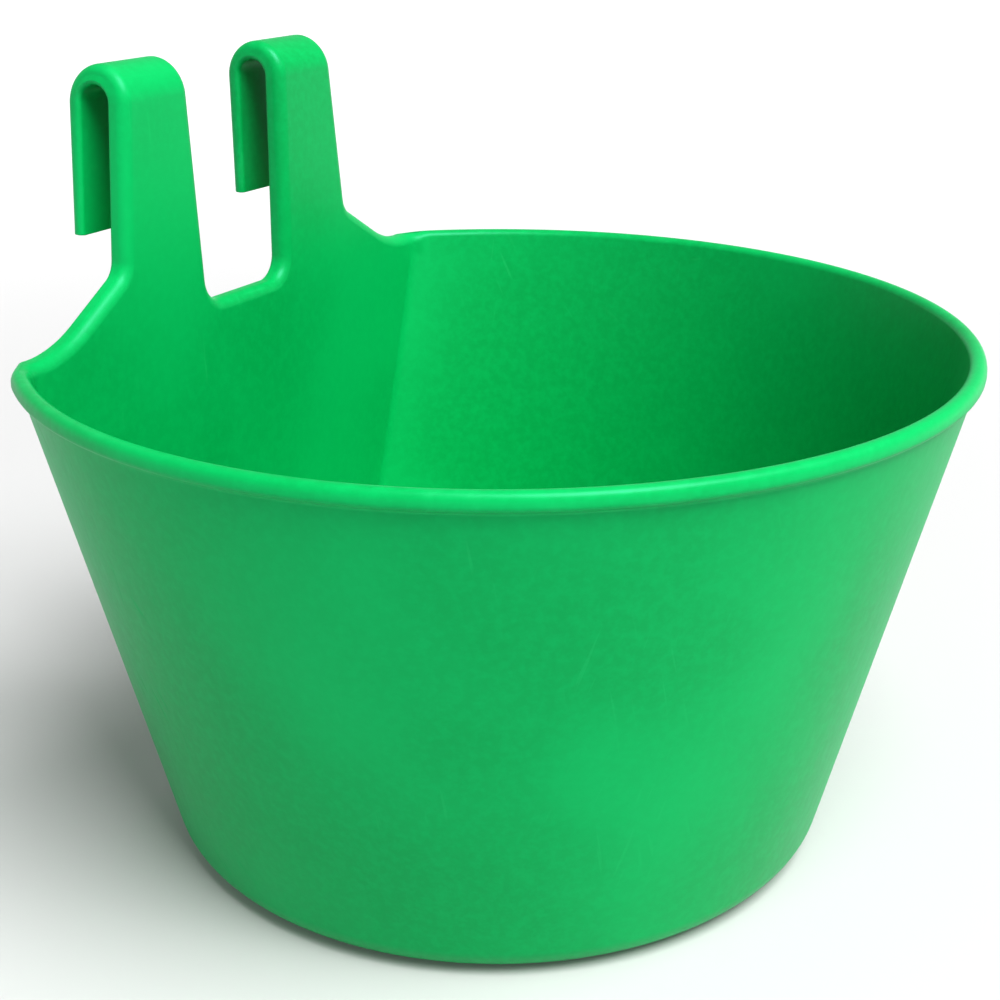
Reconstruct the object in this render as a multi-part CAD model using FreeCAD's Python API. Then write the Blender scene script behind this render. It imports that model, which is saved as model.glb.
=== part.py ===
import FreeCAD, Part
import math
import os

# Hook-on feed bucket: a tapered round cup with one flat back wall.  The back wall rises above the rim
# as two straps, and each strap turns over into a hook that drops onto a bar or a wire mesh.
# Units are millimetres.  +Z is up, the origin is the centre of the base, and the back wall faces +Y.
# The bucket is one moulding.  It is shaped as a whole and then divided into its working regions, which
# meet face to face.

# ---- bowl ----
RIM_R = 100.0            # outermost radius of the rolled rim
HEIGHT = 111.0           # base to the crest of the rim
BASE_R = 72.3            # outer wall line, carried down to the base
TOP_R = 99.2             # outer wall line, carried up to the crest of the rim
WALL = 2.35              # wall thickness, square to the wall
FLOOR = 3.0              # floor thickness
FOOT_R = 8.2             # outer rounding between wall and base
COVE_R = 6.0             # inner rounding between wall and floor
BEAD_R = 1.8             # half-width of the rolled rim's section, and the rounding of its inner side
BEAD_LOW_R = 1.2         # tighter rounding of the rolled rim's under side
BEAD_EQUATOR_Z = 108.6   # height of the rolled rim's widest line
BEAD_FULLNESS = 0.742    # how far the rim's outer upper side bulges towards a square corner
NECK_R = 1.5             # hollow rounding under the rolled rim
RIM_FROM_Z = 105.5       # bowl wall and rolled rim meet here
FLOOR_DISC_R = 58.0      # the flat middle of the floor reaches out to here

# ---- flat back wall; its heights are measured from the crest of the rim ----
BACK_Y = 64.9            # inner face of the back wall, level with the rim
BACK_T = 4.8             # thickness of the back wall and of the straps
BACK_LEAN = 0.8          # degrees that the back wall leans outwards, as moulding draft
NOTCH_Z = -0.1           # bottom of the gap between the straps
NOTCH_X = 14.15          # half the gap's width at its bottom
NOTCH_R = 5.5            # rounding in the gap's two bottom corners
STRAP_IN_X = 16.6        # inner edge of a strap at OUTLINE_TOP_Z
STRAP_OUT_X = 35.4       # outer edge of a strap at OUTLINE_TOP_Z
OUTLINE_TOP_Z = 60.0     # the outline runs past the hooks, whose bend trims it
SHOULDER_TOP = (40.6, 11.9)     # a strap's outer edge meets the sloping shoulder
SHOULDER_TOP_R = 5.0
SHOULDER_END = (60.8, -0.25)    # the shoulder runs out just under the crest of the rim
SHOULDER_END_R = 28.0
SHOULDER_IN_RIM_X = 66.0        # the shoulders stand inside the rim's two ends
STRAP_FROM_Z = 16.0      # back wall and straps meet here

# ---- hooks ----
BEND_R = 7.75            # outer radius of the bend, centred this far behind the strap's front face
BEND_Z = 45.65           # height of the bend's centre; strap, bend and leg meet here
SLOT_W = 7.3             # clear width of the slot
LEG_END_Z = 18.75        # lower end of the rear leg
LEG_LEAN = 1.05          # degrees that the rear leg's outer face closes in towards its end

# ---- edges ----
FRONT_EDGE_R = 2.6       # rounding on the front edges of the flat back and of the straps
LEG_EDGE_R = 1.7         # rounding on the outer edges of the thinner rear legs
BACK_EDGE_R = 1.1        # rounding on edges that face the fence and the slots
LEG_END_R = 0.2          # rounding around the square-cut end of a rear leg
CREASE_R = 4.2           # hollow rounding where the round wall meets the flat back
CORNER_R = 1.4           # rounding on the upright outer corners of the flat back
BEAD_END_R = 0.5         # rounding on the rolled rim's two cut ends

# ---- helpers' sizes ----
BIG = 250.0              # half the size of the blocks that trim, larger than the bucket
SPARE = 2.0              # how far a trimming shape stands past what it trims
TOUCH = 0.01             # points closer than this to a face lie on it
STRAP_EDGE_MIN = 5.0     # an edge that follows the strap is longer than this
STRAP_EDGE_RUN = 8.0     # and its two ends differ less than this in X

wall_angle = math.atan((TOP_R - BASE_R) / HEIGHT)


def vec(p):
    """Point of the X-Z plane given as (x, z)."""
    return FreeCAD.Vector(p[0], 0, p[1])


def line(a, b):
    return Part.LineSegment(vec(a), vec(b)).toShape()


def spline_line(a, b):
    """Straight line held as a spline, so that the wall turned from it meets the flat back in spline
    edges and not in hyperbolas."""
    curve = Part.BSplineCurve()
    curve.buildFromPoles([vec(a), vec(b)], False, 1)
    return curve.toShape()


def arc(a, mid, b):
    return Part.Arc(vec(a), vec(mid), vec(b)).toShape()


def polar(centre, radius, angle):
    return (centre[0] + radius * math.cos(angle), centre[1] + radius * math.sin(angle))


def outer_r(z):
    """Radius of the outer wall line at height z."""
    return BASE_R + math.tan(wall_angle) * z


def inner_r(z):
    """Radius of the inner wall line at height z."""
    return outer_r(z) - WALL / math.cos(wall_angle)


def spin(edges):
    """Solid of revolution about the bowl's axis."""
    face = Part.Face(Part.Wire(Part.__sortEdges__(edges)))
    return face.revolve(FreeCAD.Vector(0, 0, 0), FreeCAD.Vector(0, 0, 1), 360)


def floor_arc(wall_line, radius, z):
    """Rounding between the level z and a wall line: its start, middle and end."""
    turn = math.pi / 2 - wall_angle
    reach = radius * math.tan(turn / 2)
    start = (wall_line(z) - reach, z)
    end = (wall_line(z) + reach * math.sin(wall_angle), z + reach * math.cos(wall_angle))
    return start, polar((start[0], z + radius), radius, (turn - math.pi) / 2), end


def block(x0, x1, y0, y1, z0, z1):
    return Part.makeBox(x1 - x0, y1 - y0, z1 - z0, FreeCAD.Vector(x0, y0, z0))


def lean(shape):
    """Carry a shape from the flat back's own frame (inner face at Y 0, rim at Z 0) into the bucket."""
    moved = shape.copy()
    moved.rotate(FreeCAD.Vector(0, 0, 0), FreeCAD.Vector(1, 0, 0), -BACK_LEAN)
    moved.translate(FreeCAD.Vector(0, BACK_Y, HEIGHT))
    return moved


def rounded_outline(corners):
    """Closed face in the X-Z plane from corners given as (x, z, rounding)."""
    spans = []
    for i, (x, z, r) in enumerate(corners):
        px, pz, _ = corners[i - 1]
        nx, nz, _ = corners[(i + 1) % len(corners)]
        back = math.atan2(pz - z, px - x)
        ahead = math.atan2(nz - z, nx - x)
        if r == 0:
            spans.append(((x, z), None, (x, z)))
            continue
        half = abs((ahead - back + math.pi) % (2 * math.pi) - math.pi) / 2
        reach = r / math.tan(half)
        middle = math.atan2(math.sin(back) + math.sin(ahead), math.cos(back) + math.cos(ahead))
        centre = polar((x, z), r / math.sin(half), middle)
        spans.append((polar((x, z), reach, back),
                      polar(centre, r, middle + math.pi),
                      polar((x, z), reach, ahead)))
    edges = []
    for i, (start, mid, end) in enumerate(spans):
        if mid:
            edges.append(arc(start, mid, end))
        edges.append(line(end, spans[(i + 1) % len(spans)][0]))
    return Part.Face(Part.Wire(edges))


def depth(p):
    """How far a point of the bucket lies behind the inner face of the flat back."""
    lean_angle = math.radians(BACK_LEAN)
    return (p.y - BACK_Y) * math.cos(lean_angle) - (p.z - HEIGHT) * math.sin(lean_angle)


def round_edges(solid, radius, wanted):
    """Round every edge that satisfies wanted(its middle point, the edge)."""
    chosen = []
    for edge in solid.Edges:
        middle = edge.valueAt((edge.FirstParameter + edge.LastParameter) / 2)
        if wanted(middle, edge):
            chosen.append(edge)
    return solid.makeFillet(radius, chosen)


# ---- bowl: outer skin, shell and hollow, all turned about the bowl's axis ----
bead_c = (RIM_R - BEAD_R, HEIGHT - BEAD_R)
out_n = (math.cos(wall_angle), -math.sin(wall_angle))
up_wall = (math.sin(wall_angle), math.cos(wall_angle))
low_c = (RIM_R - BEAD_LOW_R, BEAD_EQUATOR_Z)

# The hollow neck under the bead is tangent to the outer wall line and to the bead's under side.
across = (outer_r(low_c[1]) - low_c[0]) * math.cos(wall_angle) + NECK_R
drop = math.sqrt((BEAD_LOW_R + NECK_R) ** 2 - across ** 2)
neck_c = (low_c[0] + out_n[0] * across - up_wall[0] * drop,
          low_c[1] + out_n[1] * across - up_wall[1] * drop)
neck_dir = math.atan2(neck_c[1] - low_c[1], neck_c[0] - low_c[0])
inner_dir = math.pi - wall_angle
neck_foot = polar(neck_c, NECK_R, inner_dir)
neck_mid = polar(neck_c, NECK_R, (neck_dir + math.pi + inner_dir) / 2)
neck_top = polar(low_c, BEAD_LOW_R, neck_dir)
equator = (RIM_R, BEAD_EQUATOR_Z)
bead_bulge = (bead_c[0] + BEAD_R * BEAD_FULLNESS,
              BEAD_EQUATOR_Z + (HEIGHT - BEAD_EQUATOR_Z) * BEAD_FULLNESS)
bead_in = polar(bead_c, BEAD_R, inner_dir)
bead_crest = (bead_c[0], HEIGHT)
foot = floor_arc(outer_r, FOOT_R, 0.0)
cove = floor_arc(inner_r, COVE_R, FLOOR)
hollow_top = (inner_r(RIM_FROM_Z), RIM_FROM_Z)

outer_skin = [line((0, 0), foot[0]), arc(*foot), spline_line(foot[2], neck_foot),
              arc(neck_foot, neck_mid, neck_top),
              arc(neck_top, polar(low_c, BEAD_LOW_R, neck_dir / 2), equator),
              arc(equator, bead_bulge, bead_crest)]
inner_skin = [line((0, FLOOR), cove[0]), arc(*cove)]
shell = spin(outer_skin + inner_skin + [
    arc(bead_crest, polar(bead_c, BEAD_R, (math.pi / 2 + inner_dir) / 2), bead_in),
    spline_line(bead_in, cove[2]), line((0, FLOOR), (0, 0))])
envelope = spin(outer_skin + [
    line(bead_crest, (0, HEIGHT)), line((0, HEIGHT), (0, 0))])
hollow = spin(inner_skin + [
    spline_line(cove[2], hollow_top), line(hollow_top, (0, RIM_FROM_Z)), line((0, RIM_FROM_Z), (0, FLOOR))])

# ---- the flat back cuts across the bowl ----
bowl_side = lean(block(-BIG, BIG, -BIG, 0, -BIG, BIG))
up_to_back = lean(block(-BIG, BIG, -BIG, BACK_T, -BIG, BIG))
under_rim = block(-BIG, BIG, -BIG, BIG, -BIG, RIM_FROM_Z)
over_rim = block(-BIG, BIG, -BIG, BIG, RIM_FROM_Z, BIG)

hollow = hollow.common(bowl_side)
hollow = round_edges(hollow, CREASE_R, lambda p, e: abs(depth(p)) < TOUCH and p.z < RIM_FROM_Z - TOUCH)
disc = Part.makeCylinder(FLOOR_DISC_R, FLOOR)
bowl_wall = envelope.common(bowl_side).common(under_rim).cut(hollow).cut(disc)
rim_bead = shell.common(over_rim).common(up_to_back)

# ---- flat back with its two straps, drawn from the front ----
half = [(NOTCH_X, NOTCH_Z, NOTCH_R), (STRAP_IN_X, OUTLINE_TOP_Z, 0), (STRAP_OUT_X, OUTLINE_TOP_Z, 0),
        SHOULDER_TOP + (SHOULDER_TOP_R,), SHOULDER_END + (SHOULDER_END_R,),
        (RIM_R + SPARE, SHOULDER_END[1], 0), (RIM_R + SPARE, -HEIGHT - SPARE, 0)]
outline = half + [(-x, z, r) for x, z, r in reversed(half)]
flat = rounded_outline(outline).extrude(FreeCAD.Vector(0, BACK_T, 0))


def on_top_outline(p):
    """True along the flat back's upper outline, from the shoulders to the straps' tops."""
    return SHOULDER_END[1] - TOUCH < p.z < OUTLINE_TOP_Z - TOUCH


flat = round_edges(flat, FRONT_EDGE_R, lambda p, e: on_top_outline(p) and abs(p.y) < TOUCH)
flat = round_edges(flat, BACK_EDGE_R, lambda p, e: on_top_outline(p) and abs(p.y - BACK_T) < TOUCH)
flat = flat.common(block(-BIG, BIG, -SPARE, BACK_T + SPARE, -BIG, STRAP_FROM_Z))
shoulders = lean(block(-SHOULDER_IN_RIM_X, SHOULDER_IN_RIM_X, -SPARE, BACK_T + SPARE, -SPARE, BIG))
back_wall = lean(flat).common(envelope.fuse(shoulders)).cut(rim_bead)
back_wall = round_edges(back_wall, CORNER_R,
                        lambda p, e: abs(depth(p) - BACK_T) < TOUCH and p.z < RIM_FROM_Z - TOUCH)
rim_bead = round_edges(rim_bead, BEAD_END_R,
                       lambda p, e: abs(depth(p) - BACK_T) < TOUCH and math.hypot(p.x, p.y) > bead_c[0])

# ---- one strap with its hook: the side profile swept across, trimmed by the strap's outline ----
leg_in_y = BACK_T + SLOT_W
leg_angle = math.radians(LEG_LEAN)
bend_c = (BEND_R, BEND_Z)
bend_end = polar(bend_c, BEND_R, -leg_angle)
leg_out_y = bend_end[0] - (bend_end[1] - LEG_END_Z) * math.tan(leg_angle)
slot_c = (BACK_T + SLOT_W / 2, BEND_Z)

side = [line((0, STRAP_FROM_Z), (0, BEND_Z)),
        arc((0, BEND_Z), polar(bend_c, BEND_R, (math.pi - leg_angle) / 2), bend_end),
        line(bend_end, (leg_out_y, LEG_END_Z)), line((leg_out_y, LEG_END_Z), (leg_in_y, LEG_END_Z)),
        line((leg_in_y, LEG_END_Z), (leg_in_y, BEND_Z)),
        arc((leg_in_y, BEND_Z), (slot_c[0], BEND_Z + SLOT_W / 2), (BACK_T, BEND_Z)),
        line((BACK_T, BEND_Z), (BACK_T, STRAP_FROM_Z)), line((BACK_T, STRAP_FROM_Z), (0, STRAP_FROM_Z))]
ribbon = Part.Face(Part.Wire(side)).extrude(FreeCAD.Vector(0, BIG, 0))
ribbon.rotate(FreeCAD.Vector(0, 0, 0), FreeCAD.Vector(0, 0, 1), 90)
ribbon.translate(FreeCAD.Vector(BIG / 2, 0, 0))


def strap_edge_x(z, low, top):
    """X on the straight strap edge that runs from the point low to the point top, at height z."""
    return low[0] + (top[0] - low[0]) * (z - low[1]) / (top[1] - low[1])


low_z = STRAP_FROM_Z - SPARE
inner_x = [strap_edge_x(z, (NOTCH_X, NOTCH_Z), (STRAP_IN_X, OUTLINE_TOP_Z)) for z in (low_z, OUTLINE_TOP_Z)]
outer_x = [strap_edge_x(z, SHOULDER_TOP, (STRAP_OUT_X, OUTLINE_TOP_Z)) for z in (low_z, OUTLINE_TOP_Z)]
strap_front = rounded_outline([(inner_x[0], low_z, 0), (inner_x[1], OUTLINE_TOP_Z, 0),
                               (outer_x[1], OUTLINE_TOP_Z, 0), (outer_x[0], low_z, 0)])
column = strap_front.extrude(FreeCAD.Vector(0, 2 * BEND_R + 2 * SPARE, 0))
column.translate(FreeCAD.Vector(0, -SPARE, 0))
right = ribbon.common(column)


def along_strap(e):
    """True for the long edges that follow the strap, false for the edges that run across it."""
    return e.Length > STRAP_EDGE_MIN and abs(e.Vertexes[0].X - e.Vertexes[-1].X) < STRAP_EDGE_RUN


def faces_slot(p):
    """True on the strap's rear face, the inside of the bend and the inside of the leg."""
    if p.z < BEND_Z + TOUCH:
        return BACK_T - TOUCH < p.y < leg_in_y + TOUCH
    return math.hypot(p.y - slot_c[0], p.z - BEND_Z) < SLOT_W / 2 + TOUCH


def taper_edges(solid, start_radius, end_radius, wanted):
    """Round edges from one radius on the strap's side of the bend to another on the leg's side."""
    for edge in [e for e in solid.Edges if wanted(e.valueAt((e.FirstParameter + e.LastParameter) / 2), e)]:
        near = min(solid.Edges, key=lambda e: (e.CenterOfMass - edge.CenterOfMass).Length)
        from_strap = near.valueAt(near.FirstParameter).y < near.valueAt(near.LastParameter).y
        radii = (start_radius, end_radius) if from_strap else (end_radius, start_radius)
        solid = solid.makeFillet(radii[0], radii[1], [near])
    return solid


def outer_edge(p, e):
    return along_strap(e) and not faces_slot(p)


def inner_edge(p, e):
    return along_strap(e) and faces_slot(p)


right_strap = right.common(block(-BIG, BIG, -SPARE, slot_c[0], -BIG, BEND_Z))
right_strap = round_edges(right_strap, FRONT_EDGE_R, outer_edge)
right_strap = round_edges(right_strap, BACK_EDGE_R, inner_edge)
right_bend = right.common(block(-BIG, BIG, -SPARE, BIG, BEND_Z, BIG))
right_bend = taper_edges(right_bend, FRONT_EDGE_R, LEG_EDGE_R, outer_edge)
right_bend = round_edges(right_bend, BACK_EDGE_R, inner_edge)
right_leg = round_edges(right, LEG_EDGE_R, outer_edge)
right_leg = round_edges(right_leg, BACK_EDGE_R, inner_edge)
right_leg = round_edges(right_leg, LEG_END_R, lambda p, e: abs(p.z - LEG_END_Z) < TOUCH)
right_leg = right_leg.common(block(-BIG, BIG, slot_c[0], BIG, -BIG, BEND_Z))

# ---- one STEP file for each region ----
across_x = (FreeCAD.Vector(0, 0, 0), FreeCAD.Vector(1, 0, 0))
regions = {
    "floor_disc": disc,
    "bowl_wall": bowl_wall,
    "rim_bead": rim_bead,
    "back_wall": back_wall,
    "right_strap": lean(right_strap),
    "right_hook_bend": lean(right_bend),
    "right_hook_leg": lean(right_leg),
    "left_strap": lean(right_strap.mirror(*across_x)),
    "left_hook_bend": lean(right_bend.mirror(*across_x)),
    "left_hook_leg": lean(right_leg.mirror(*across_x)),
}
os.makedirs("parts", exist_ok=True)
for name, shape in regions.items():
    solid = shape.Solids[0]
    state = "valid" if solid.isValid() else "BAD"
    print(name, len(shape.Solids), "solid", round(solid.Volume / 1000, 2), "cm3", state)
    solid.exportStep("parts/" + name + ".step")
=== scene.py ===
import math

import bmesh
import bpy
import numpy as np
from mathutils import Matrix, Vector


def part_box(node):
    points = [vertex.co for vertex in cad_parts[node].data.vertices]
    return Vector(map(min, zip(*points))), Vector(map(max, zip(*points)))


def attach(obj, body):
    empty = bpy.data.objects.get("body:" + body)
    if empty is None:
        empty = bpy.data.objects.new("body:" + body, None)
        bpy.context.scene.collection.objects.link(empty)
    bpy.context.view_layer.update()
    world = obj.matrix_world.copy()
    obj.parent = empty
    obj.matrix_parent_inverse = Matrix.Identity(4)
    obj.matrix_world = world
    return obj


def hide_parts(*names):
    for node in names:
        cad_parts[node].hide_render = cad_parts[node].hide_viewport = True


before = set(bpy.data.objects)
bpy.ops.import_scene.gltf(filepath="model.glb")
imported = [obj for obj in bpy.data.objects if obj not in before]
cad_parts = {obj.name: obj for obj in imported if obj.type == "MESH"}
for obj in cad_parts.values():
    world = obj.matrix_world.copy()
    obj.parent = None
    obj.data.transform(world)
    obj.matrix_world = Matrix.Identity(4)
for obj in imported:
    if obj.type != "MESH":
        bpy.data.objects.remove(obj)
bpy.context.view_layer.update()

# A hook-on feed bucket: one green polypropylene moulding.  Its whole skin is built here as one smooth
# surface and then divided at the borders of the CAD regions, so that no seam shows between them.
# Lengths in the shape code are millimetres; the meshes are scaled to metres at the end.
MM = 0.001

# ---- sizes, the same as the CAD's ----
rim_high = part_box("rim_bead")[1]
RIM_R = round(rim_high.x / MM)           # outermost radius of the rolled rim, a whole number
HEIGHT = round(rim_high.z / MM)          # base to the crest of the rim, a whole number
BASE_R, TOP_R = 72.3, 99.2               # outer wall line at the base and at the crest of the rim
WALL, FLOOR = 2.35, 3.0
FOOT_R, COVE_R = 8.2, 6.0                # outer and inner rounding at the bottom of the wall
BEAD_R, NECK_R = 1.8, 1.5                # rolled rim, and the hollow under it
BEAD_LOW_R, BEAD_EQUATOR_Z = 1.2, 108.6  # the rim's tighter under side, and the height of its widest line
BEAD_FULLNESS = 0.86                     # under 1 makes the rim's upper outer quarter squarer than round
LIP_FROM_Z = 105.0                       # the lip starts here
FLOOR_DISC_R = 58.0
BACK_Y, BACK_T, BACK_LEAN = 64.9, 4.8, math.radians(0.8)
NOTCH_Z, NOTCH_X, NOTCH_R = -0.1, 14.15, 5.5
STRAP_IN = (16.6, 60.0)                  # top of the line that a strap's inner edge follows
STRAP_OUT = (35.4, 60.0)
SHOULDER_TOP, SHOULDER_TOP_R = (40.6, 11.9), 5.0
SHOULDER_END, SHOULDER_END_R = (60.8, -0.25), 28.0
STRAP_FROM_Z = 16.0
BEND_R, BEND_Z, SLOT_W = 7.75, 45.65, 7.3
LEG_END_Z, LEG_LEAN, LEG_END_R = 18.75, math.radians(1.05), 0.2
FRONT_EDGE_R, BACK_EDGE_R, LEG_EDGE_R = 2.6, 1.1, 1.7
CREASE_R, CORNER_R = 4.2, 1.4

# ---- how finely the skin is divided ----
FLOOR_RINGS = (0.0, 20.0, 40.0)          # radii of the floor's rings inside the floor disc
FLOOR_STEPS = 3          # from the floor disc's border to the foot
FOOT_STEPS, COVE_STEPS = 18, 14          # up the outer and the inner rounding
FLAT_COLUMNS = 14        # across half of the flat back
LINE_STEPS, FILLET_STEPS, BEND_IN_STEPS = 3, 9, 5
ARC_COLUMNS = 88         # from a corner round to the front
WALL_STEPS = 16
NECK_STEPS, BEAD_LOW_STEPS = 6, 4
REAR_STEPS, FRONT_STEPS = 8, 8           # across the rear and the front rounding of an edge
LIP_FOOT_STEPS = 3       # from the rim's inner rounding down to the lip's start
NOTCH_STEPS, SHOULDER_STEPS = 14, 16     # round one corner of the gap and of the shoulder
EDGE_RUN = 3.0           # longest piece of a straight edge
STRAP_RINGS, BEND_RINGS, LEG_RINGS, TIP_RINGS = 8, 40, 8, 4

# ---- how the corner's columns are placed, and how points are found on the cups ----
CORNER_GAP = 3.2         # from the last plain column to the upright outer corner
CORNER_TURN = math.radians(3)            # from the inner corner to the first plain column of the round wall
SEARCH_LIFT = 25.0       # the search lines start this high over the floor, on the axis
SEARCH_REACH = 1.02      # and end this far out, as a share of the way to the plain round cup
HALVINGS = 48

# ---- rubbed edges ----
BULGE_R = 5.0            # an outward bend of this radius or less counts as an edge
BULGE_SPREADS = 2        # how often the mask is spread to the neighbouring points

wall_angle = math.atan((TOP_R - BASE_R) / HEIGHT)
SLOPE, COS_W, SIN_W = math.tan(wall_angle), math.cos(wall_angle), math.sin(wall_angle)
INNER_BASE_R = BASE_R - WALL / COS_W


def polar(centre, radius, angle):
    return (centre[0] + radius * math.cos(angle), centre[1] + radius * math.sin(angle))


def arc_points(centre, radius, start, end, steps):
    return [polar(centre, radius, start + (end - start) * i / steps) for i in range(steps + 1)]


def smooth(t):
    t = min(max(t, 0.0), 1.0)
    return t * t * (3 - 2 * t)


def plane_y(z, depth):
    """Y of the flat back's plane that lies depth behind its inner face, at height z."""
    return BACK_Y + (depth + (z - HEIGHT) * math.sin(BACK_LEAN)) / math.cos(BACK_LEAN)


def from_back(x, depth, up):
    """World point of (x, depth, height over the rim) on the leaning back."""
    return np.array([x, BACK_Y + depth * math.cos(BACK_LEAN) + up * math.sin(BACK_LEAN),
                     HEIGHT - depth * math.sin(BACK_LEAN) + up * math.cos(BACK_LEAN)])


# ---- the skin's faces: the +X half is made and mirrored ----
verts, lookup = [], {}
skin, caps = [], []
MIRROR = np.array([-1.0, 1.0, 1.0])


def vertex(p):
    key = (round(float(p[0]), 4), round(float(p[1]), 4), round(float(p[2]), 4))
    if key not in lookup:
        lookup[key] = len(verts)
        verts.append(key)
    return lookup[key]


def ids(points):
    """Vertex numbers of a face, without repeats, or None if it has no area."""
    out = []
    for p in points:
        v = vertex(p)
        if v not in out:
            out.append(v)
    return out if len(out) > 2 else None


def other_side(region):
    return region.replace("right", "left") if region else region


def add(points, region, second=None):
    """A skin face of a region, or with a second region a cap that the two share, and its mirror image."""
    for side in (1, -1):
        pts = points if side == 1 else [p * MIRROR for p in reversed(points)]
        face = ids(pts)
        names = (region, second) if side == 1 else (other_side(region), other_side(second))
        if face and second:
            caps.append((face, names[0]))
            caps.append((face[::-1], names[1]))
        elif face:
            skin.append((face, names[0]))


# ---- D-shaped cups: the outside of the bowl, and its hollow ----
def roll(a, na, b, nb, radius):
    """Signed distance and normal of the overlap of two solids, with a ball rolled along their edge."""
    c = (na * nb).sum(-1)
    s2 = np.maximum(1 - c * c, 1e-6)
    u, v = a + radius, b + radius
    al, be = (u - v * c) / s2, (v - u * c) / s2
    edge = (al > 0) & (be > 0)
    d = np.sqrt(np.maximum(al * al + be * be + 2 * al * be * c, 1e-12))
    n = np.where(edge[..., None], (al[..., None] * na + be[..., None] * nb) / d[..., None],
                 np.where((a > b)[..., None], na, nb))
    return np.where(edge, d - radius, np.maximum(a, b)), n


def cup_distance(p, base_r, floor_z, floor_r, depth, corner_r):
    """Signed distance of points from a round tapered cup with a rounded foot, cut by the flat back."""
    r = np.hypot(p[..., 0], p[..., 1])
    safe = np.maximum(r, 1e-9)
    cone = (r - base_r - SLOPE * p[..., 2]) * COS_W
    cone_n = np.stack([p[..., 0] / safe * COS_W, p[..., 1] / safe * COS_W, np.full_like(r, -SIN_W)], -1)
    down = np.broadcast_to(np.array([0.0, 0.0, -1.0]), p.shape)
    round_part, round_n = roll(floor_z - p[..., 2], down, cone, cone_n, floor_r)
    flat = (p[..., 1] - BACK_Y) * math.cos(BACK_LEAN) - (p[..., 2] - HEIGHT) * math.sin(BACK_LEAN) - depth
    flat_n = np.broadcast_to(np.array([0.0, math.cos(BACK_LEAN), -math.sin(BACK_LEAN)]), p.shape)
    return roll(round_part, round_n, flat, flat_n, corner_r)[0]


def flat_half(z):
    """X where the plain flat columns end and the corner's columns begin."""
    z = min(z, LIP_FROM_Z)
    return math.sqrt((BASE_R + SLOPE * z) ** 2 - plane_y(z, BACK_T) ** 2) - CORNER_GAP


def arc_from(z):
    """Angle from +Y where the corner's columns end and the round wall's columns begin."""
    z = min(z, LIP_FROM_Z)
    return math.acos(plane_y(z, 0) / (INNER_BASE_R + SLOPE * z)) + CORNER_TURN


def d_outline(radius, y, corner_r, z):
    """The +X half of a D in plan, from the middle of its flat to its front: points and outward normals."""
    x0, a1 = flat_half(z), arc_from(z)
    cx = math.sqrt((radius - corner_r) ** 2 - (y - corner_r) ** 2)
    a0 = math.atan2(cx, y - corner_r)
    pts = [(x0 * i / FLAT_COLUMNS, y) for i in range(FLAT_COLUMNS)]
    pts += [(x0 + (cx - x0) * i / LINE_STEPS, y) for i in range(LINE_STEPS)]
    turns = [0.0] * len(pts)
    for i in range(FILLET_STEPS):
        turns.append(a0 * i / FILLET_STEPS)
        pts.append(polar((cx, y - corner_r), corner_r, math.pi / 2 - turns[-1]))
    turns += [a0 + (a1 - a0) * i / BEND_IN_STEPS for i in range(BEND_IN_STEPS)]
    turns += [a1 + (math.pi - a1) * i / ARC_COLUMNS for i in range(ARC_COLUMNS + 1)]
    pts += [polar((0.0, 0.0), radius, math.pi / 2 - t) for t in turns[len(pts):]]
    return np.array(pts), np.array([(math.sin(t), math.cos(t)) for t in turns])


CORNER_COLUMN = FLAT_COLUMNS
CORNER_SPAN = LINE_STEPS + FILLET_STEPS + BEND_IN_STEPS
ARC_COLUMN = CORNER_COLUMN + CORNER_SPAN


def cup_rows(stations, base_r, floor_z, floor_r, depth, corner_r):
    """Rows of points up a cup.  Each point lies where a line from the axis, aimed at a station of the plain
    round cup, meets the cut and rounded one.  Floor and foot rows share the directions of the wall's foot."""
    rows = []
    for radius, z, on_wall, lift in reversed(stations):
        if on_wall:
            xy = d_outline(radius, plane_y(z, depth), corner_r, z)[0]
            angles = np.arctan2(xy[:, 0], xy[:, 1])
        aim = np.stack([radius * np.sin(angles), radius * np.cos(angles), np.full_like(angles, z)], -1)
        start = np.array([0.0, 0.0, z + lift])
        low, high = np.zeros(len(angles)), np.full(len(angles), SEARCH_REACH)
        for _ in range(HALVINGS):
            mid = (low + high) / 2
            out = cup_distance(start + (aim - start) * mid[:, None],
                               base_r, floor_z, floor_r, depth, corner_r) > 0
            low, high = np.where(out, low, mid), np.where(out, mid, high)
        row = start + (aim - start) * low[:, None]
        row[0, 0] = row[-1, 0] = 0.0
        rows.append(row)
    return rows[::-1]


def cup_stations(base_r, floor_z, floor_r, arc_steps):
    """(radius, height, on the wall, lift of the search line's start) from the floor's middle to the lip."""
    turn = math.pi / 2 - wall_angle
    wall_r = base_r + SLOPE * floor_z
    reach = floor_r * math.tan(turn / 2)
    centre = (wall_r - reach, floor_z + floor_r)
    radii = list(FLOOR_RINGS) + [FLOOR_DISC_R + (centre[0] - FLOOR_DISC_R) * i / FLOOR_STEPS
                                 for i in range(FLOOR_STEPS)]
    out = [(r, floor_z, False, SEARCH_LIFT) for r in radii]
    for i in range(arc_steps):
        r, z = polar(centre, floor_r, -math.pi / 2 + turn * i / arc_steps)
        out.append((r, z, False, SEARCH_LIFT * (1 - i / arc_steps)))
    wall_z = polar(centre, floor_r, -math.pi / 2 + turn)[1]
    for i in range(WALL_STEPS + 1):
        z = wall_z + (LIP_FROM_Z - wall_z) * i / WALL_STEPS
        out.append((base_r + SLOPE * z, z, True, 0.0))
    return out


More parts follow.
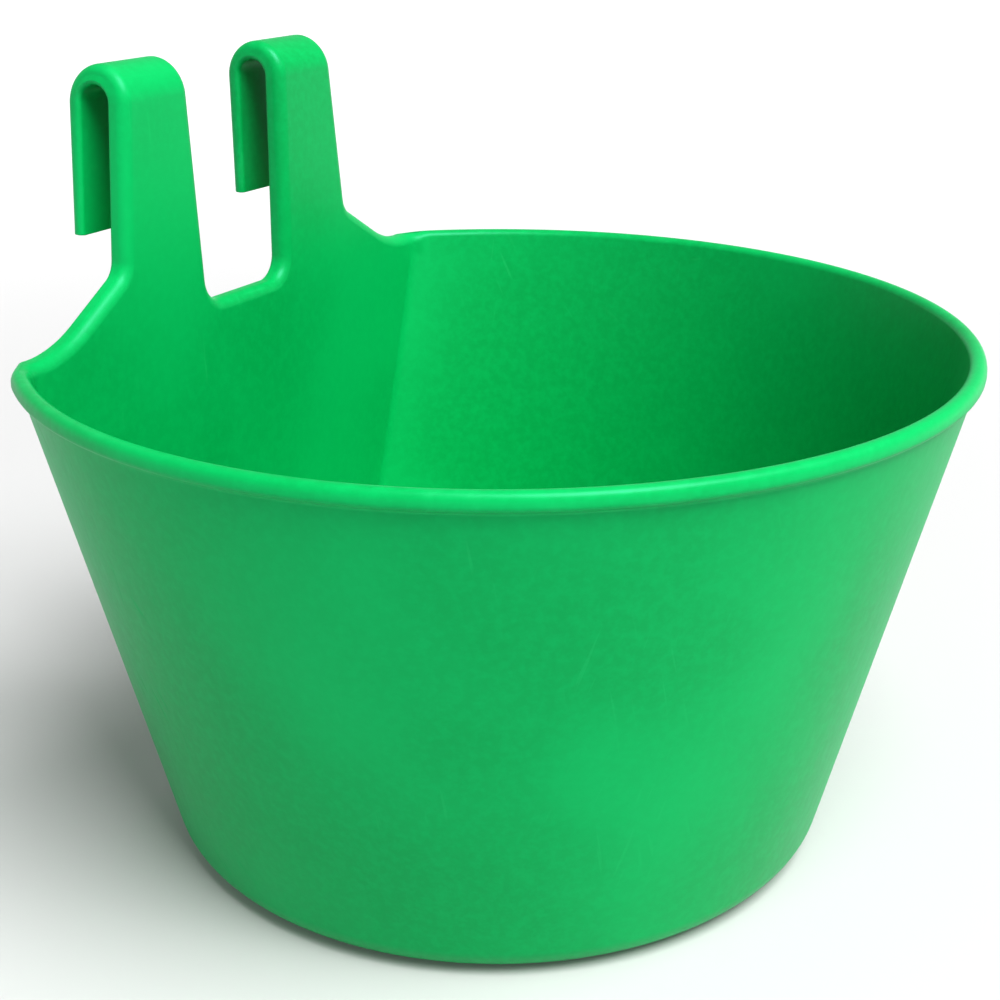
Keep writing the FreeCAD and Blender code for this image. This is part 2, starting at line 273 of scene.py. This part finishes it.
outer = cup_rows(cup_stations(BASE_R, 0.0, FOOT_R, FOOT_STEPS), BASE_R, 0.0, FOOT_R, BACK_T, CORNER_R)
inner = cup_rows(cup_stations(INNER_BASE_R, FLOOR, COVE_R, COVE_STEPS),
                 INNER_BASE_R, FLOOR, COVE_R, 0.0, CREASE_R)
DISC_ROW = len(FLOOR_RINGS)
outer_wall, inner_wall = len(outer) - WALL_STEPS - 1, len(inner) - WALL_STEPS - 1


def cup_faces(rows, wall_row):
    for i, (low, high) in enumerate(zip(rows, rows[1:])):
        for j in range(len(low) - 1):
            if i < DISC_ROW:
                region = "floor_disc"
            elif i >= wall_row and j < ARC_COLUMN:
                region = "back_wall"
            else:
                region = "bowl_wall"
            add([low[j], low[j + 1], high[j + 1], high[j]], region)


cup_faces(outer, outer_wall)
cup_faces(inner, inner_wall)


def ladder(rung_a, rung_b, region_a, region_b):
    """Quads between matching points of two rows, shared by two regions."""
    for i in range(len(rung_a) - 1):
        add([rung_a[i], rung_a[i + 1], rung_b[i + 1], rung_b[i]], region_a, region_b)


ladder(outer[DISC_ROW], inner[DISC_ROW], "floor_disc", "bowl_wall")
ladder(outer[outer_wall][:ARC_COLUMN + 1], inner[inner_wall][:ARC_COLUMN + 1], "bowl_wall", "back_wall")
ladder([row[ARC_COLUMN] for row in outer[outer_wall:]], [row[ARC_COLUMN] for row in inner[inner_wall:]],
       "bowl_wall", "back_wall")
ladder(outer[-1][ARC_COLUMN:], inner[-1][ARC_COLUMN:], "bowl_wall", "rim_bead")


# ---- flat back's outline over the rim, with its edges rounded front and back ----
def rounded_path(corners, steps):
    """Points and left-hand normals along corners given as (x, up, rounding)."""
    out = []
    for i, (x, z, r) in enumerate(corners):
        if i in (0, len(corners) - 1):
            other = corners[1] if i == 0 else corners[-2]
            way = np.array([other[0] - x, other[1] - z]) * (1 if i == 0 else -1)
            way = way / np.linalg.norm(way)
            out.append((np.array([x, z]), np.array([-way[1], way[0]])))
            continue
        came = np.array([x - corners[i - 1][0], z - corners[i - 1][1]])
        goes = np.array([corners[i + 1][0] - x, corners[i + 1][1] - z])
        came, goes = came / np.linalg.norm(came), goes / np.linalg.norm(goes)
        turn = math.acos(float(came @ goes))
        # every corner of this outline turns left: it is hollow, with its centre outside the plate
        centre = np.array([x, z]) - came * r * math.tan(turn / 2) + np.array([-came[1], came[0]]) * r
        for k in range(steps + 1):
            a = turn * k / steps
            n = np.array([-came[1], came[0]]) * math.cos(a) - came * math.sin(a)
            out.append((centre - n * r, n))
    return out


def on_line(low, top, z):
    return low[0] + (top[0] - low[0]) * (z - low[1]) / (top[1] - low[1])


STRAP_IN_LOW = (NOTCH_X, NOTCH_Z)
notch_path = rounded_path([(0.0, NOTCH_Z, 0), (NOTCH_X, NOTCH_Z, NOTCH_R),
                           (on_line(STRAP_IN_LOW, STRAP_IN, STRAP_FROM_Z), STRAP_FROM_Z, 0)], NOTCH_STEPS)
whole_shoulder = rounded_path([(on_line(SHOULDER_TOP, STRAP_OUT, STRAP_FROM_Z), STRAP_FROM_Z, 0),
                               SHOULDER_TOP + (SHOULDER_TOP_R,), SHOULDER_END + (SHOULDER_END_R,),
                               (RIM_R, SHOULDER_END[1], 0)], SHOULDER_STEPS)
EDGE_X = flat_half(LIP_FROM_Z)


def shoulder_at(x):
    """Outline point and normal of the shoulder at x."""
    for (p, n), (q, m) in zip(whole_shoulder, whole_shoulder[1:]):
        if p[0] < q[0] and x <= q[0] and x > SHOULDER_TOP[0]:
            t = (x - p[0]) / (q[0] - p[0])
            mixed = n + (m - n) * t
            return p + (q - p) * t, mixed / np.linalg.norm(mixed)


def rear_edge(p, n, t):
    """Point on the rounding between the rear face (t 0) and the top of an edge (t 1)."""
    a = t * math.pi / 2
    q = p - n * BACK_EDGE_R * (1 - math.sin(a))
    return from_back(q[0], BACK_T - BACK_EDGE_R * (1 - math.cos(a)), q[1])


def front_edge(p, n, t):
    """Point on the rounding between the top of an edge (t 0) and the front face (t 1)."""
    a = t * math.pi / 2
    q = p - n * FRONT_EDGE_R * (1 - math.cos(a))
    return from_back(q[0], FRONT_EDGE_R * (1 - math.sin(a)), q[1])


def edge_section(p, n):
    return ([rear_edge(p, n, t / REAR_STEPS) for t in range(REAR_STEPS + 1)]
            + [front_edge(p, n, t / FRONT_STEPS) for t in range(FRONT_STEPS + 1)])


def between(path, longest):
    """The path with its long straight runs divided."""
    out = [path[0]]
    for (p, n), (q, m) in zip(path, path[1:]):
        pieces = max(1, int(np.linalg.norm(q - p) / longest))
        for k in range(1, pieces + 1):
            t = k / pieces
            mixed = n + (m - n) * t
            out.append((p + (q - p) * t, mixed / np.linalg.norm(mixed)))
    return out


POINT_GAP = 0.2          # outline points nearer than this to the shoulder's end are left out
shoulder_path = [pn for pn in whole_shoulder if pn[0][0] < EDGE_X - POINT_GAP] + [shoulder_at(EDGE_X)]
notch_sections = [edge_section(p, n) for p, n in between(notch_path, EDGE_RUN)]
shoulder_sections = [edge_section(p, n) for p, n in between(shoulder_path, EDGE_RUN)]
for sections in (notch_sections, shoulder_sections):
    for a, b in zip(sections, sections[1:]):
        for i in range(len(a) - 1):
            add([a[i], a[i + 1], b[i + 1], b[i]], "back_wall")

# ---- the lip: neck, rolled rim and inner wall on the round side, blended into the flat back ----
bead_c = (RIM_R - BEAD_R, HEIGHT - BEAD_R)
low_c = (RIM_R - BEAD_LOW_R, BEAD_EQUATOR_Z)
across = (BASE_R + SLOPE * low_c[1] - low_c[0]) * COS_W + NECK_R
drop = math.sqrt((BEAD_LOW_R + NECK_R) ** 2 - across ** 2)
neck_c = (low_c[0] + COS_W * across - SIN_W * drop, low_c[1] - SIN_W * across - COS_W * drop)
neck_dir = math.atan2(neck_c[1] - low_c[1], neck_c[0] - low_c[0])
inner_dir = math.pi - wall_angle

outside = arc_points(neck_c, NECK_R, inner_dir, neck_dir + math.pi, NECK_STEPS)
outside += arc_points(low_c, BEAD_LOW_R, neck_dir, 0.0, BEAD_LOW_STEPS)[1:]
EQUATOR = len(outside) - 1
for i in range(1, REAR_STEPS + 1):
    a = i / REAR_STEPS * math.pi / 2
    outside.append((bead_c[0] + BEAD_R * max(math.cos(a), 0.0) ** BEAD_FULLNESS,
                    BEAD_EQUATOR_Z + (HEIGHT - BEAD_EQUATOR_Z) * math.sin(a) ** BEAD_FULLNESS))
outside[-1] = (bead_c[0], HEIGHT)
inside = arc_points(bead_c, BEAD_R, math.pi / 2, inner_dir, FRONT_STEPS)
INNER_TANGENT = len(inside) - 1
for i in range(1, LIP_FOOT_STEPS):
    z = inside[INNER_TANGENT][1] + (LIP_FROM_Z - inside[INNER_TANGENT][1]) * i / LIP_FOOT_STEPS
    inside.append((INNER_BASE_R + SLOPE * z, z))

foot_row = outer[-1][CORNER_COLUMN:]
run = np.concatenate([[0.0], np.cumsum(np.linalg.norm(np.diff(foot_row, axis=0), axis=1))])
# 0 where a column still belongs to the flat back, 1 where it belongs to the rolled rim
rim_share = [smooth(float(d) / float(run[CORNER_SPAN])) for d in run]


def lip_rows(base_row, profile, base_r, depth, corner_r, edge, edge_steps, edge_from):
    """Rows of the lip on one side.  Each column stands on its point of base_row and is pushed out along
    that point's plan normal, by the rim's profile, by the flat back's edge, or by a mix of the two.  The
    edge's rounding takes edge_steps rows from the row edge_from."""
    normals_2d = d_outline(base_r, plane_y(LIP_FROM_Z, depth), corner_r, LIP_FROM_Z)[1][CORNER_COLUMN:]
    face_y = plane_y(LIP_FROM_Z, depth)
    rows = []
    for i, (r, z) in enumerate(profile):
        t = min(max((i - edge_from) / edge_steps, 0.0), 1.0)
        # how far up the plain face a row lies that is still under the edge's rounding
        end_z = profile[edge_from if edge is rear_edge else edge_from + edge_steps][1]
        up = min((z - LIP_FROM_Z) / (end_z - LIP_FROM_Z), 1.0)
        row = []
        for k, base in enumerate(base_row):
            push, height = r - base_r, z
            if k < CORNER_SPAN:
                on_edge = edge(*shoulder_at(float(base[0])), t)
                plate_z = LIP_FROM_Z + (on_edge[2] - LIP_FROM_Z) * up
                plate_push = on_edge[1] - face_y if up == 1.0 else plane_y(plate_z, depth) - face_y
                push = plate_push + (push - plate_push) * rim_share[k]
                height = plate_z + (z - plate_z) * rim_share[k]
            n = normals_2d[k]
            row.append(np.array([base[0] + n[0] * push, base[1] + n[1] * push, height]))
        row[-1][0] = 0.0
        rows.append(row)
    return rows


lip_r, lip_inner_r = BASE_R + SLOPE * LIP_FROM_Z, INNER_BASE_R + SLOPE * LIP_FROM_Z
lip = [list(foot_row)]
lip += lip_rows(foot_row, outside, lip_r, BACK_T, CORNER_R, rear_edge, REAR_STEPS, EQUATOR)
crest_row = len(lip) - 1
lip += lip_rows(inner[-1][CORNER_COLUMN:], inside, lip_inner_r, 0.0, CREASE_R,
                front_edge, FRONT_STEPS, 0)
lip[crest_row + 1][CORNER_SPAN:] = lip[crest_row][CORNER_SPAN:]
lip.append(list(inner[-1][CORNER_COLUMN:]))
rear_top, front_top = 1 + EQUATOR, crest_row + 1 + INNER_TANGENT
for k, point in enumerate(shoulder_sections[-1]):
    lip[rear_top + k][0] = point
for a, b in zip(lip, lip[1:]):
    for j in range(len(a) - 1):
        add([a[j], a[j + 1], b[j + 1], b[j]], "back_wall" if j < CORNER_SPAN else "rim_bead")
add([row[CORNER_SPAN] for row in lip], "rim_bead", "back_wall")


# ---- the flat back's two faces over the lip's level ----
def face_of_back(bottom, side, pick):
    """Half of a plane face: along the bottom, up the corner column, round the outline, and back."""
    outline = [section[pick] for section in reversed(shoulder_sections)]
    outline += [section[pick] for section in reversed(notch_sections)]
    add(bottom + side + outline, "back_wall")


face_of_back(list(outer[-1][:CORNER_COLUMN + 1]), [lip[i][0] for i in range(1, rear_top + 1)], 0)
face_of_back(list(inner[-1][:CORNER_COLUMN + 1]),
             [lip[i][0] for i in range(len(lip) - 2, front_top - 1, -1)], -1)

# ---- strap, bend and leg: one rounded section carried along the hook ----
leg_in = BACK_T + SLOT_W
slot_c = (BACK_T + SLOT_W / 2, BEND_Z)
bend_c = (BEND_R, BEND_Z)
leg_out_top = polar(bend_c, BEND_R, -LEG_LEAN)
leg_out_end = leg_out_top[0] - (leg_out_top[1] - LEG_END_Z) * math.tan(LEG_LEAN)


def side_point(z, low, top, sign):
    """X of a strap's side and the side's outward normal."""
    slope = (top[0] - low[0]) / (top[1] - low[1])
    n = np.array([sign, 0.0, -sign * slope])
    return on_line(low, top, z), n / np.linalg.norm(n)


def hook_ring(front, front_n, rear, rear_n, front_r, inset=0.0, lift=0.0):
    """Section of a hook from its outer surface point and its slot-side point, given as (depth, up).  The
    whole section is drawn in by inset and moved up by lift."""
    ring = []
    for low, top, sign in ((SHOULDER_TOP, STRAP_OUT, 1), (STRAP_IN_LOW, STRAP_IN, -1)):
        pts = []
        for point, normal, radius, steps, rearward in (
                (rear, rear_n, BACK_EDGE_R, REAR_STEPS, True), (front, front_n, front_r, FRONT_STEPS, False)):
            x, side_n = side_point(point[1], low, top, sign)
            corner = np.array([x, point[0], point[1]])
            face_n = np.array([0.0, normal[0], normal[1]])
            flat_side = side_n - face_n * float(side_n @ face_n)
            flat_side = flat_side / np.linalg.norm(flat_side)
            for k in range(steps + 1):
                a = k / steps * math.pi / 2
                out, along = (math.sin(a), math.cos(a)) if rearward else (math.cos(a), math.sin(a))
                q = corner - flat_side * radius * (1 - out) - face_n * radius * (1 - along)
                q = q - (flat_side * out + face_n * along) * inset
                pts.append(q + np.array([0.0, 0.0, lift]))
        ring += pts if sign == 1 else pts[::-1]
    return [from_back(*q) for q in ring]


rings = []
for i in range(STRAP_RINGS + 1):
    z = STRAP_FROM_Z + (BEND_Z - STRAP_FROM_Z) * i / STRAP_RINGS
    rings.append(hook_ring((0.0, z), (-1.0, 0.0), (BACK_T, z), (1.0, 0.0), FRONT_EDGE_R))
strap_top = len(rings) - 1
for i in range(1, BEND_RINGS + 1):
    t = i / BEND_RINGS
    a, b = math.pi - (math.pi + LEG_LEAN) * t, math.pi - math.pi * t
    rings.append(hook_ring(polar(bend_c, BEND_R, a), (math.cos(a), math.sin(a)),
                           polar(slot_c, SLOT_W / 2, b), (-math.cos(b), -math.sin(b)),
                           FRONT_EDGE_R + (LEG_EDGE_R - FRONT_EDGE_R) * t))
leg_top = len(rings) - 1
out_n = (math.cos(LEG_LEAN), -math.sin(LEG_LEAN))
tip_from = LEG_END_Z + LEG_END_R
for i in range(1, LEG_RINGS + 1):
    t = i / LEG_RINGS
    front = (leg_out_top[0] + (leg_out_end - leg_out_top[0]) * t,
             leg_out_top[1] + (tip_from - leg_out_top[1]) * t)
    rear = (leg_in, BEND_Z + (tip_from - BEND_Z) * t)
    rings.append(hook_ring(front, out_n, rear, (-1.0, 0.0), LEG_EDGE_R))
for i in range(1, TIP_RINGS + 1):
    a = i / TIP_RINGS * math.pi / 2
    rings.append(hook_ring(front, out_n, rear, (-1.0, 0.0), LEG_EDGE_R,
                           LEG_END_R * (1 - math.cos(a)), -LEG_END_R * math.sin(a)))
rings[0] = shoulder_sections[0] + notch_sections[-1][::-1]

for k, (a, b) in enumerate(zip(rings, rings[1:])):
    region = "right_strap" if k < strap_top else "right_hook_bend" if k < leg_top else "right_hook_leg"
    for i in range(len(a)):
        j = (i + 1) % len(a)
        add([a[i], a[j], b[j], b[i]], region)
add(rings[-1], "right_hook_leg")
add(rings[0], "right_strap", "back_wall")
add(rings[strap_top], "right_strap", "right_hook_bend")
add(rings[leg_top], "right_hook_bend", "right_hook_leg")

# ---- smooth normals of the whole skin, so that they agree across the regions' borders ----
whole = bmesh.new()
for v in verts:
    whole.verts.new(v)
whole.verts.ensure_lookup_table()
for face, _ in skin:
    whole.faces.new([whole.verts[v] for v in face])
bmesh.ops.recalc_face_normals(whole, faces=whole.faces)
normals = np.zeros((len(verts), 3))
for f in whole.faces:
    weight = np.array(f.normal) * f.calc_area()
    for v in f.verts:
        normals[v.index] += weight
normals /= np.maximum(np.linalg.norm(normals, axis=1), 1e-12)[:, None]

# ---- how strongly each point of the skin bends outwards, which is where it gets rubbed ----
ends = np.array([[e.verts[0].index, e.verts[1].index] for e in whole.edges])
whole.free()
places = np.array(verts)
span = places[ends[:, 1]] - places[ends[:, 0]]
length2 = np.maximum((span ** 2).sum(1), 1e-9)
bulge, count = np.zeros(len(verts)), np.zeros(len(verts))
for near, way in ((0, -1.0), (1, 1.0)):
    np.add.at(bulge, ends[:, near], way * (normals[ends[:, near]] * span).sum(1) / length2)
    np.add.at(count, ends[:, near], 1.0)
bulge = np.clip(bulge / count * BULGE_R, 0.0, 1.0)
for _ in range(BULGE_SPREADS):
    spread = np.zeros(len(verts))
    np.add.at(spread, ends[:, 0], bulge[ends[:, 1]])
    np.add.at(spread, ends[:, 1], bulge[ends[:, 0]])
    bulge = (bulge + spread / count) / 2

# ---- how the picture is developed ----
scene = bpy.context.scene
scene.view_settings.view_transform = "Standard"
scene.view_settings.look = "None"
scene.view_settings.exposure = 0.12
scene.view_settings.gamma = 0.82


def new_material(name):
    material = bpy.data.materials.new(name)
    material.use_nodes = True
    return material, material.node_tree, material.node_tree.nodes["Principled BSDF"]


class Graph:
    """Short names for the nodes of one material."""

    def __init__(self, tree):
        self.tree = tree

    def put(self, target, value):
        """Link a socket, or set a plain value."""
        if isinstance(value, bpy.types.NodeSocket):
            self.tree.links.new(value, target)
        else:
            target.default_value = value

    def noise(self, place, scale, detail, rough=0.5):
        node = self.tree.nodes.new("ShaderNodeTexNoise")
        self.put(node.inputs["Vector"], place)
        node.inputs["Scale"].default_value = scale
        node.inputs["Detail"].default_value = detail
        node.inputs["Roughness"].default_value = rough
        return node.outputs["Fac"]

    def stretch(self, place, factors, turn=(0.0, 0.0, 0.0)):
        node = self.tree.nodes.new("ShaderNodeMapping")
        self.put(node.inputs["Vector"], place)
        node.inputs["Scale"].default_value = factors
        node.inputs["Rotation"].default_value = turn
        return node.outputs["Vector"]

    def fit(self, value, low, high, to_low=0.0, to_high=1.0):
        """Carry the range low to high smoothly into another range."""
        node = self.tree.nodes.new("ShaderNodeMapRange")
        node.interpolation_type = "SMOOTHSTEP"
        for name, setting in zip(("Value", "From Min", "From Max", "To Min", "To Max"),
                                 (value, low, high, to_low, to_high)):
            self.put(node.inputs[name], setting)
        return node.outputs["Result"]

    def math(self, operation, first, second):
        node = self.tree.nodes.new("ShaderNodeMath")
        node.operation = operation
        self.put(node.inputs[0], first)
        self.put(node.inputs[1], second)
        return node.outputs[0]

    def mix(self, share, first, second):
        node = self.tree.nodes.new("ShaderNodeMix")
        node.data_type = "RGBA"
        self.put(node.inputs["Factor"], share)
        colours = [socket for socket in node.inputs if socket.type == "RGBA"]
        self.put(colours[0], first)
        self.put(colours[1], second)
        return next(socket for socket in node.outputs if socket.type == "RGBA")

    def bump(self, height, strength, distance, under=None):
        node = self.tree.nodes.new("ShaderNodeBump")
        self.put(node.inputs["Height"], height)
        node.inputs["Strength"].default_value = strength
        node.inputs["Distance"].default_value = distance
        if under:
            self.put(node.inputs["Normal"], under)
        return node.outputs["Normal"]


# ---- green polypropylene: clouded pigment, moulding grain, draw lines, scratches and rubbed edges ----
BODY_GREEN = (0.0012, 0.415, 0.114, 1)
DEEP_GREEN = (0.0010, 0.345, 0.088, 1)
PALE_GREEN = (0.0018, 0.450, 0.128, 1)
RUBBED_GREEN = (0.030, 0.50, 0.17, 1)
FLECK_SHARE, SCRATCH_SHARE, RUBBED_SHARE = 0.45, 0.20, 0.20     # how strongly each one colours the plastic
GLOSSY, SATIN = 0.34, 0.41               # roughness where the clouds are darkest and palest
SCRATCH_ROUGHER, RUBBED_ROUGHER = 0.12, 0.06

plastic, tree, bsdf = new_material("green_plastic")
g = Graph(tree)
place = tree.nodes.new("ShaderNodeTexCoord").outputs["Object"]
edge_mask = tree.nodes.new("ShaderNodeAttribute")
edge_mask.attribute_name = "rubbed_edge"

# patterns; their scales are in waves per metre
cloud = g.noise(place, scale=16.0, detail=2.0, rough=0.45)
fleck = g.noise(place, scale=520.0, detail=2.0, rough=0.6)
grain = g.noise(place, scale=1500.0, detail=2.0, rough=0.6)
orange_peel = g.noise(place, scale=170.0, detail=2.0)
sink = g.noise(place, scale=34.0, detail=2.0)
draw_lines = g.noise(g.stretch(place, (900.0, 900.0, 22.0)), scale=1.0, detail=3.0, rough=0.55)
scratch_a = g.noise(g.stretch(place, (1400.0, 60.0, 60.0), turn=(0.3, 0.5, 0.7)),
                    scale=1.0, detail=2.0, rough=0.4)
scratch_b = g.noise(g.stretch(place, (70.0, 1300.0, 50.0), turn=(0.9, -0.4, -0.5)),
                    scale=1.0, detail=2.0, rough=0.4)
scratch_zone = g.fit(g.noise(place, scale=26.0, detail=3.0, rough=0.6), 0.5, 0.66)
scratches = g.math("MULTIPLY", g.math("MAXIMUM", g.fit(scratch_a, 0.66, 0.74), g.fit(scratch_b, 0.67, 0.75)),
                   scratch_zone)
rub_patches = g.fit(g.noise(place, scale=120.0, detail=7.0, rough=0.68), 0.50, 0.66)
rubbed = g.math("MULTIPLY", g.fit(edge_mask.outputs["Fac"], 0.35, 0.85), rub_patches)

colour = g.mix(g.fit(cloud, 0.36, 0.64), DEEP_GREEN, BODY_GREEN)
colour = g.mix(g.fit(fleck, 0.3, 0.8, to_high=FLECK_SHARE), colour, PALE_GREEN)
colour = g.mix(g.math("MULTIPLY", scratches, SCRATCH_SHARE), colour, RUBBED_GREEN)
colour = g.mix(g.math("MULTIPLY", rubbed, RUBBED_SHARE), colour, RUBBED_GREEN)
g.put(bsdf.inputs["Base Color"], colour)

gloss = g.fit(cloud, 0.3, 0.7, to_low=GLOSSY, to_high=SATIN)
gloss = g.math("ADD", gloss, g.fit(draw_lines, 0.35, 0.65, to_low=-0.008, to_high=0.010))
gloss = g.math("ADD", gloss, g.math("MULTIPLY", scratches, SCRATCH_ROUGHER))
gloss = g.math("ADD", gloss, g.math("MULTIPLY", rubbed, RUBBED_ROUGHER))
g.put(bsdf.inputs["Roughness"], gloss)

surface = g.bump(sink, strength=0.25, distance=0.0005)
surface = g.bump(orange_peel, strength=0.24, distance=0.00012, under=surface)
surface = g.bump(draw_lines, strength=0.02, distance=0.00004, under=surface)
surface = g.bump(grain, strength=0.22, distance=0.00003, under=surface)
g.put(bsdf.inputs["Normal"], surface)
bsdf.inputs["IOR"].default_value = 1.49
bsdf.inputs["Specular IOR Level"].default_value = 0.3
bsdf.inputs["Specular Tint"].default_value = (0.45, 0.7, 1.0, 1)


def make_piece(node):
    """One region as a closed mesh: its share of the skin, and plain faces where it meets its neighbours."""
    mine = [(f, False) for f, region in skin if region == node]
    mine += [(f, True) for f, region in caps if region == node]
    used = sorted({v for f, _ in mine for v in f})
    place = {v: i for i, v in enumerate(used)}
    bm = bmesh.new()
    for v in used:
        bm.verts.new(Vector(verts[v]) * MM)
    bm.verts.ensure_lookup_table()
    for f, _ in mine:
        bm.faces.new([bm.verts[place[v]] for v in f]).smooth = True
    bmesh.ops.recalc_face_normals(bm, faces=bm.faces)
    mesh = bpy.data.meshes.new(node + "_skin")
    bm.to_mesh(mesh)
    bm.free()
    loop_normals = []
    for polygon, (_, cap) in zip(mesh.polygons, mine):
        for v in polygon.vertices:
            loop_normals.append(polygon.normal if cap else normals[used[v]])
    mesh.normals_split_custom_set([tuple(n) for n in loop_normals])
    rubbed_edge = mesh.attributes.new("rubbed_edge", "FLOAT", "POINT")
    rubbed_edge.data.foreach_set("value", bulge[used].astype(np.float32))
    mesh.materials.append(plastic)
    obj = bpy.data.objects.new(node + "_skin", mesh)
    scene.collection.objects.link(obj)
    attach(obj, "root")
    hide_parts(node)


for node in sorted(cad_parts):
    make_piece(node)

# ---- a pale floor, which glows the more the further out it lies ----
FLOOR_HALF = 8
FLOOR_GAP = 0.0002       # keeps the floor clear of the bucket's underside
FLOOR_GREY = 0.52

floor_material, tree, bsdf = new_material("floor")
bsdf.inputs["Base Color"].default_value = (FLOOR_GREY, FLOOR_GREY, FLOOR_GREY, 1)
bsdf.inputs["Roughness"].default_value = 0.7
g = Graph(tree)
out_from_middle = tree.nodes.new("ShaderNodeVectorMath")
out_from_middle.operation = "LENGTH"
g.put(out_from_middle.inputs[0], tree.nodes.new("ShaderNodeTexCoord").outputs["Object"])
distance = out_from_middle.outputs["Value"]
bsdf.inputs["Emission Color"].default_value = (1, 1, 1, 1)
g.put(bsdf.inputs["Emission Strength"],
      g.math("ADD", g.fit(distance, 0.15, 1.2, to_low=0.05, to_high=0.5),
             g.fit(distance, 1.2, 3.5, to_high=0.4)))
floor_mesh = bpy.data.meshes.new("floor")
floor_mesh.from_pydata([(x * FLOOR_HALF, y * FLOOR_HALF, 0) for x, y in ((-1, -1), (1, -1), (1, 1), (-1, 1))],
                       [], [(0, 1, 2, 3)])
floor_mesh.materials.append(floor_material)
floor = bpy.data.objects.new("floor", floor_mesh)
floor.location.z = -FLOOR_GAP
scene.collection.objects.link(floor)

# ---- camera ----
CAMERA_TURN = math.radians(-60.80391)    # about the bucket's axis, from the front of the bowl
CAMERA_RAISE = math.radians(21.13799)
CAMERA_CENTRE = Vector((0, 0, 0.0709745))
CAMERA_DISTANCE = 0.3664682
AIM_RIGHT, AIM_UP = 0.0011657425, 0.0013936685  # the view's centre beside CAMERA_CENTRE, as tangents
LENS, SENSOR = 59.97208, 36

level = Vector((math.sin(CAMERA_TURN), -math.cos(CAMERA_TURN), 0))
back = level * math.cos(CAMERA_RAISE) + Vector((0, 0, math.sin(CAMERA_RAISE)))
right = Vector((math.cos(CAMERA_TURN), math.sin(CAMERA_TURN), 0))
forward = -back + right * AIM_RIGHT + back.cross(right) * AIM_UP
camera = bpy.data.objects.new("camera", bpy.data.cameras.new("camera"))
camera.data.sensor_width = SENSOR
camera.data.lens = LENS
camera.data.clip_start, camera.data.clip_end = 0.01, 50
camera.location = CAMERA_CENTRE + back * CAMERA_DISTANCE
camera.rotation_mode = "QUATERNION"
camera.rotation_quaternion = forward.normalized().to_track_quat("-Z", "Y")
scene.collection.objects.link(camera)
scene.camera = camera

# ---- light: a sky that is brightest at the horizon, a key light and a weak side light ----
LIGHT_TARGET = Vector((0, 0, 0.08))
LIGHT_DISTANCE = 3.0


def towards(turn, height):
    """Direction that lies turn degrees to the camera's right and height degrees up, seen from the bucket."""
    turn, height = math.radians(turn), math.radians(height)
    return ((level * math.cos(turn) + right * math.sin(turn)) * math.cos(height)
            + Vector((0, 0, 1)) * math.sin(height))


def square_light(name, turn, height, side, power):
    light = bpy.data.lights.new(name, "AREA")
    light.size = side
    light.energy = power
    place = LIGHT_TARGET + towards(turn, height) * LIGHT_DISTANCE
    lamp = bpy.data.objects.new(name, light)
    lamp.location = place
    lamp.rotation_mode = "QUATERNION"
    lamp.rotation_quaternion = (LIGHT_TARGET - place).to_track_quat("-Z", "Y")
    scene.collection.objects.link(lamp)


world = bpy.data.worlds.new("world")
world.use_nodes = True
scene.world = world
sky = Graph(world.node_tree)
background = sky.tree.nodes["Background"]
background.inputs["Color"].default_value = (1, 1, 1, 1)
direction = sky.tree.nodes.new("ShaderNodeSeparateXYZ")
sky.put(direction.inputs[0], sky.tree.nodes.new("ShaderNodeTexCoord").outputs["Generated"])
sky.put(background.inputs["Strength"],
        sky.fit(direction.outputs["Z"], 0.0, 0.35, to_low=0.90, to_high=0.38))

square_light("key", turn=36, height=59, side=1.8, power=150)
square_light("side", turn=75, height=38, side=1.4, power=10)
